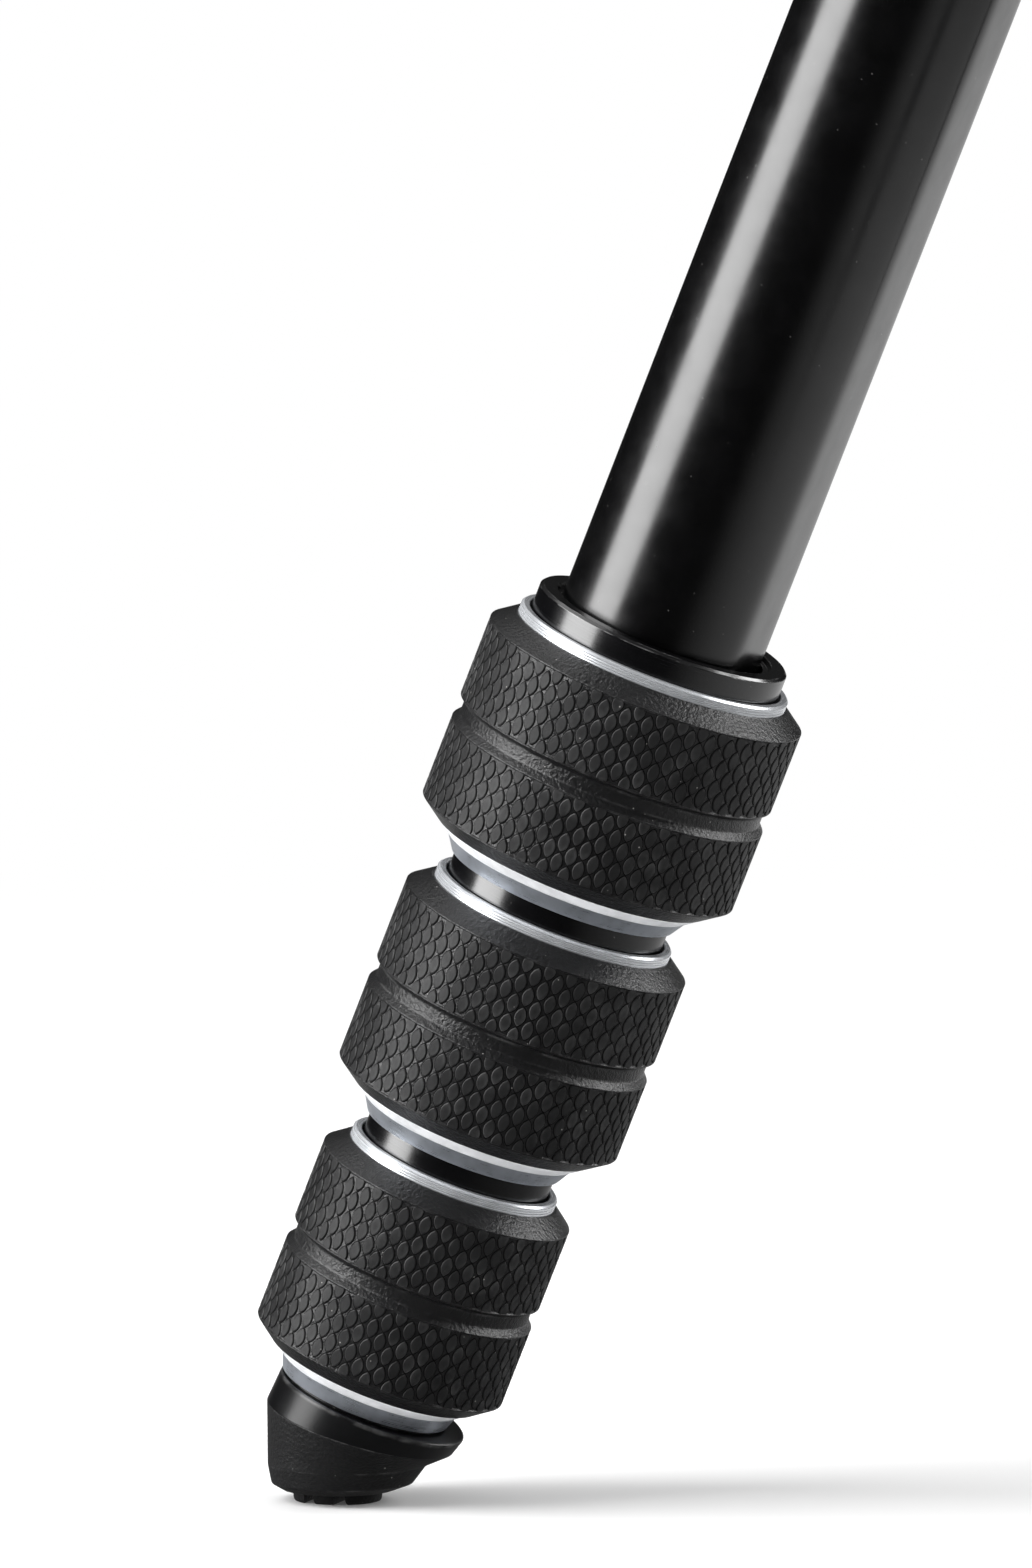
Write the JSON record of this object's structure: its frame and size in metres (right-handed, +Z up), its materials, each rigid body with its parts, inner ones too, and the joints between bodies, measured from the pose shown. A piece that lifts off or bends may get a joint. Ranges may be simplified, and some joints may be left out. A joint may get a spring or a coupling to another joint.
{
  "type": "camera tripod",
  "caption": "Folding camera tripod with four-section twist-lock legs, angle stops, a sliding centre column and a ball head with a quick-release camera plate.",
  "frame": {"origin": "on the camera pad, where the camera screw's thread starts", "axes": "+Z up along the column and the camera screw, +X along the camera plate away from leg 1, +Y by the right-hand rule; leg 1, the one in the picture, stands towards -X"},
  "size_m": [0.2756, 0.314, 0.4592],
  "materials": {
    "anodised_black": "satin black anodised",
    "painted_black": "fine satin black paint on a casting",
    "bright_aluminium": "silver anodised, finely turned",
    "steel": "plain steel",
    "black_rubber": "moulded black rubber with a fine grain",
    "black_plastic": "moulded black plastic"
  },
  "bodies": {
    "crown": {"crown": "painted_black", "leg_pivot_bolts": "steel", "column_bush": "black_plastic"},
    "leg_1_top": {"leg_1_casting": "painted_black", "leg_1_tube_1": "anodised_black"},
    "leg_1_tab": {"leg_1_angle_tab": "bright_aluminium"},
    "leg_1_section_2": {"leg_1_tube_2": "anodised_black"},
    "leg_1_section_3": {"leg_1_tube_3": "anodised_black"},
    "leg_1_section_4": {"leg_1_tube_4": "anodised_black", "leg_1_foot": "black_rubber"},
    "leg_1_lock_1": {"leg_1_lock_nut_1": "bright_aluminium", "leg_1_grip_1": "black_rubber"},
    "leg_1_lock_2": {"leg_1_lock_nut_2": "bright_aluminium", "leg_1_grip_2": "black_rubber"},
    "leg_1_lock_3": {"leg_1_lock_nut_3": "bright_aluminium", "leg_1_grip_3": "black_rubber"},
    "column": {"column_tube": "anodised_black", "column_end_plug": "painted_black", "head_stud": "steel", "head_base": "anodised_black"},
    "column_lock": {"column_lock_nut": "bright_aluminium", "column_lock_grip": "black_rubber"},
    "weight_ring": {"weight_ring": "steel"},
    "housing": {"ball_housing": "anodised_black", "ball_cup": "black_plastic"},
    "ball_knob": {"ball_lock_knob": "anodised_black"},
    "pan_knob": {"pan_lock_knob": "anodised_black"},
    "ball": {"ball_stem": "bright_aluminium"},
    "platform": {"clamp_base": "anodised_black"},
    "jaw": {"clamp_jaw": "anodised_black"},
    "clamp_knob": {"clamp_knob": "anodised_black"},
    "plate": {"quick_plate": "anodised_black", "plate_pad": "black_rubber"},
    "screw": {"camera_screw": "steel"},
    "leg_2_top": {"leg_2_casting": "painted_black", "leg_2_tube_1": "anodised_black"},
    "leg_2_tab": {"leg_2_angle_tab": "bright_aluminium"},
    "leg_2_section_2": {"leg_2_tube_2": "anodised_black"},
    "leg_2_section_3": {"leg_2_tube_3": "anodised_black"},
    "leg_2_section_4": {"leg_2_tube_4": "anodised_black", "leg_2_foot": "black_rubber"},
    "leg_2_lock_1": {"leg_2_lock_nut_1": "bright_aluminium", "leg_2_grip_1": "black_rubber"},
    "leg_2_lock_2": {"leg_2_lock_nut_2": "bright_aluminium", "leg_2_grip_2": "black_rubber"},
    "leg_2_lock_3": {"leg_2_lock_nut_3": "bright_aluminium", "leg_2_grip_3": "black_rubber"},
    "leg_3_top": {"leg_3_casting": "painted_black", "leg_3_tube_1": "anodised_black"},
    "leg_3_tab": {"leg_3_angle_tab": "bright_aluminium"},
    "leg_3_section_2": {"leg_3_tube_2": "anodised_black"},
    "leg_3_section_3": {"leg_3_tube_3": "anodised_black"},
    "leg_3_section_4": {"leg_3_tube_4": "anodised_black", "leg_3_foot": "black_rubber"},
    "leg_3_lock_1": {"leg_3_lock_nut_1": "bright_aluminium", "leg_3_grip_1": "black_rubber"},
    "leg_3_lock_2": {"leg_3_lock_nut_2": "bright_aluminium", "leg_3_grip_2": "black_rubber"},
    "leg_3_lock_3": {"leg_3_lock_nut_3": "bright_aluminium", "leg_3_grip_3": "black_rubber"}
  },
  "joints": [
    {"name": "leg_1_hinge", "type": "hinge", "parent": "crown", "child": "leg_1_top", "pos_m": [-0.033, 0, -0.1088], "axis": [0, 1, 0], "range_deg": [-22, 60]},
    {"name": "leg_1_angle_tab", "type": "slide", "parent": "leg_1_top", "child": "leg_1_tab", "axis": [0.3746, 0, 0.9272], "range_m": [0, 0.0055]},
    {"name": "leg_1_extend_1", "type": "slide", "parent": "leg_1_top", "child": "leg_1_section_2", "axis": [-0.3746, 0, -0.9272], "range_m": [0, 0.22]},
    {"name": "leg_1_extend_2", "type": "slide", "parent": "leg_1_section_2", "child": "leg_1_section_3", "axis": [-0.3746, 0, -0.9272], "range_m": [0, 0.245]},
    {"name": "leg_1_extend_3", "type": "slide", "parent": "leg_1_section_3", "child": "leg_1_section_4", "axis": [-0.3746, 0, -0.9272], "range_m": [0, 0.27]},
    {"name": "leg_1_twist_lock_1", "type": "hinge", "parent": "leg_1_top", "child": "leg_1_lock_1", "pos_m": [-0.033, 0, -0.1088], "axis": [-0.3746, 0, -0.9272], "range_deg": [0, 90]},
    {"name": "leg_1_twist_lock_2", "type": "hinge", "parent": "leg_1_section_2", "child": "leg_1_lock_2", "pos_m": [-0.033, 0, -0.1088], "axis": [-0.3746, 0, -0.9272], "range_deg": [0, 90]},
    {"name": "leg_1_twist_lock_3", "type": "hinge", "parent": "leg_1_section_3", "child": "leg_1_lock_3", "pos_m": [-0.033, 0, -0.1088], "axis": [-0.3746, 0, -0.9272], "range_deg": [0, 90]},
    {"name": "column_slide", "type": "slide", "parent": "crown", "child": "column", "axis": [0, 0, 1], "range_m": [0, 0.19]},
    {"name": "column_lock_twist", "type": "hinge", "parent": "crown", "child": "column_lock", "pos_m": [0, 0, -0.1088], "axis": [0, 0, 1], "range_deg": [0, 90]},
    {"name": "pan", "type": "hinge", "parent": "column", "child": "housing", "pos_m": [0, 0, -0.0606], "axis": [0, 0, 1], "continuous": true},
    {"name": "ball_tilt", "type": "hinge", "parent": "housing", "child": "ball", "pos_m": [0, 0, -0.042], "axis": [0, 1, 0], "range_deg": [-35, 90]},
    {"name": "ball_spin", "type": "hinge", "parent": "ball", "child": "platform", "pos_m": [0, 0, -0.042], "axis": [0, 0, 1], "continuous": true},
    {"name": "ball_lock", "type": "hinge", "parent": "housing", "child": "ball_knob", "pos_m": [0, 0, -0.05], "axis": [0, -1, 0], "range_deg": [0, 270]},
    {"name": "pan_lock", "type": "hinge", "parent": "housing", "child": "pan_knob", "pos_m": [0, 0, -0.0606], "axis": [0, 1, 0], "range_deg": [0, 270]},
    {"name": "clamp_turn", "type": "hinge", "parent": "jaw", "child": "clamp_knob", "pos_m": [0, 0, -0.01365], "axis": [0, -1, 0], "range_deg": [0, 900]},
    {"name": "jaw_slide", "type": "slide", "parent": "platform", "child": "jaw", "axis": [0, -1, 0], "range_m": [0, 0.0025]},
    {"name": "plate_slide", "type": "slide", "parent": "platform", "child": "plate", "axis": [1, 0, 0], "range_m": [0, 0.05]},
    {"name": "camera_screw_turn", "type": "hinge", "parent": "plate", "child": "screw", "pos_m": [0, 0, 0], "axis": [0, 0, 1], "continuous": true},
    {"name": "weight_ring_swing", "type": "hinge", "parent": "column", "child": "weight_ring", "pos_m": [0, 0, -0.3218], "axis": [0, 1, 0], "range_deg": [-80, 80]},
    {"name": "leg_2_hinge", "type": "hinge", "parent": "crown", "child": "leg_2_top", "pos_m": [0.0165, -0.02858, -0.1088], "axis": [-0.866, -0.5, 0], "range_deg": [-22, 60]},
    {"name": "leg_2_angle_tab", "type": "slide", "parent": "leg_2_top", "child": "leg_2_tab", "axis": [-0.1873, 0.3244, 0.9272], "range_m": [0, 0.0055]},
    {"name": "leg_2_extend_1", "type": "slide", "parent": "leg_2_top", "child": "leg_2_section_2", "axis": [0.1873, -0.3244, -0.9272], "range_m": [0, 0.22]},
    {"name": "leg_2_extend_2", "type": "slide", "parent": "leg_2_section_2", "child": "leg_2_section_3", "axis": [0.1873, -0.3244, -0.9272], "range_m": [0, 0.245]},
    {"name": "leg_2_extend_3", "type": "slide", "parent": "leg_2_section_3", "child": "leg_2_section_4", "axis": [0.1873, -0.3244, -0.9272], "range_m": [0, 0.27]},
    {"name": "leg_2_twist_lock_1", "type": "hinge", "parent": "leg_2_top", "child": "leg_2_lock_1", "pos_m": [0.0165, -0.02858, -0.1088], "axis": [0.1873, -0.3244, -0.9272], "range_deg": [0, 90]},
    {"name": "leg_2_twist_lock_2", "type": "hinge", "parent": "leg_2_section_2", "child": "leg_2_lock_2", "pos_m": [0.0165, -0.02858, -0.1088], "axis": [0.1873, -0.3244, -0.9272], "range_deg": [0, 90]},
    {"name": "leg_2_twist_lock_3", "type": "hinge", "parent": "leg_2_section_3", "child": "leg_2_lock_3", "pos_m": [0.0165, -0.02858, -0.1088], "axis": [0.1873, -0.3244, -0.9272], "range_deg": [0, 90]},
    {"name": "leg_3_hinge", "type": "hinge", "parent": "crown", "child": "leg_3_top", "pos_m": [0.0165, 0.02858, -0.1088], "axis": [0.866, -0.5, 0], "range_deg": [-22, 60]},
    {"name": "leg_3_angle_tab", "type": "slide", "parent": "leg_3_top", "child": "leg_3_tab", "axis": [-0.1873, -0.3244, 0.9272], "range_m": [0, 0.0055]},
    {"name": "leg_3_extend_1", "type": "slide", "parent": "leg_3_top", "child": "leg_3_section_2", "axis": [0.1873, 0.3244, -0.9272], "range_m": [0, 0.22]},
    {"name": "leg_3_extend_2", "type": "slide", "parent": "leg_3_section_2", "child": "leg_3_section_3", "axis": [0.1873, 0.3244, -0.9272], "range_m": [0, 0.245]},
    {"name": "leg_3_extend_3", "type": "slide", "parent": "leg_3_section_3", "child": "leg_3_section_4", "axis": [0.1873, 0.3244, -0.9272], "range_m": [0, 0.27]},
    {"name": "leg_3_twist_lock_1", "type": "hinge", "parent": "leg_3_top", "child": "leg_3_lock_1", "pos_m": [0.0165, 0.02858, -0.1088], "axis": [0.1873, 0.3244, -0.9272], "range_deg": [0, 90]},
    {"name": "leg_3_twist_lock_2", "type": "hinge", "parent": "leg_3_section_2", "child": "leg_3_lock_2", "pos_m": [0.0165, 0.02858, -0.1088], "axis": [0.1873, 0.3244, -0.9272], "range_deg": [0, 90]},
    {"name": "leg_3_twist_lock_3", "type": "hinge", "parent": "leg_3_section_3", "child": "leg_3_lock_3", "pos_m": [0.0165, 0.02858, -0.1088], "axis": [0.1873, 0.3244, -0.9272], "range_deg": [0, 90]}
  ],
  "couplings": [
    {"joint": "clamp_turn", "follows": "jaw_slide", "rad_per_m": 6283.2}
  ]
}
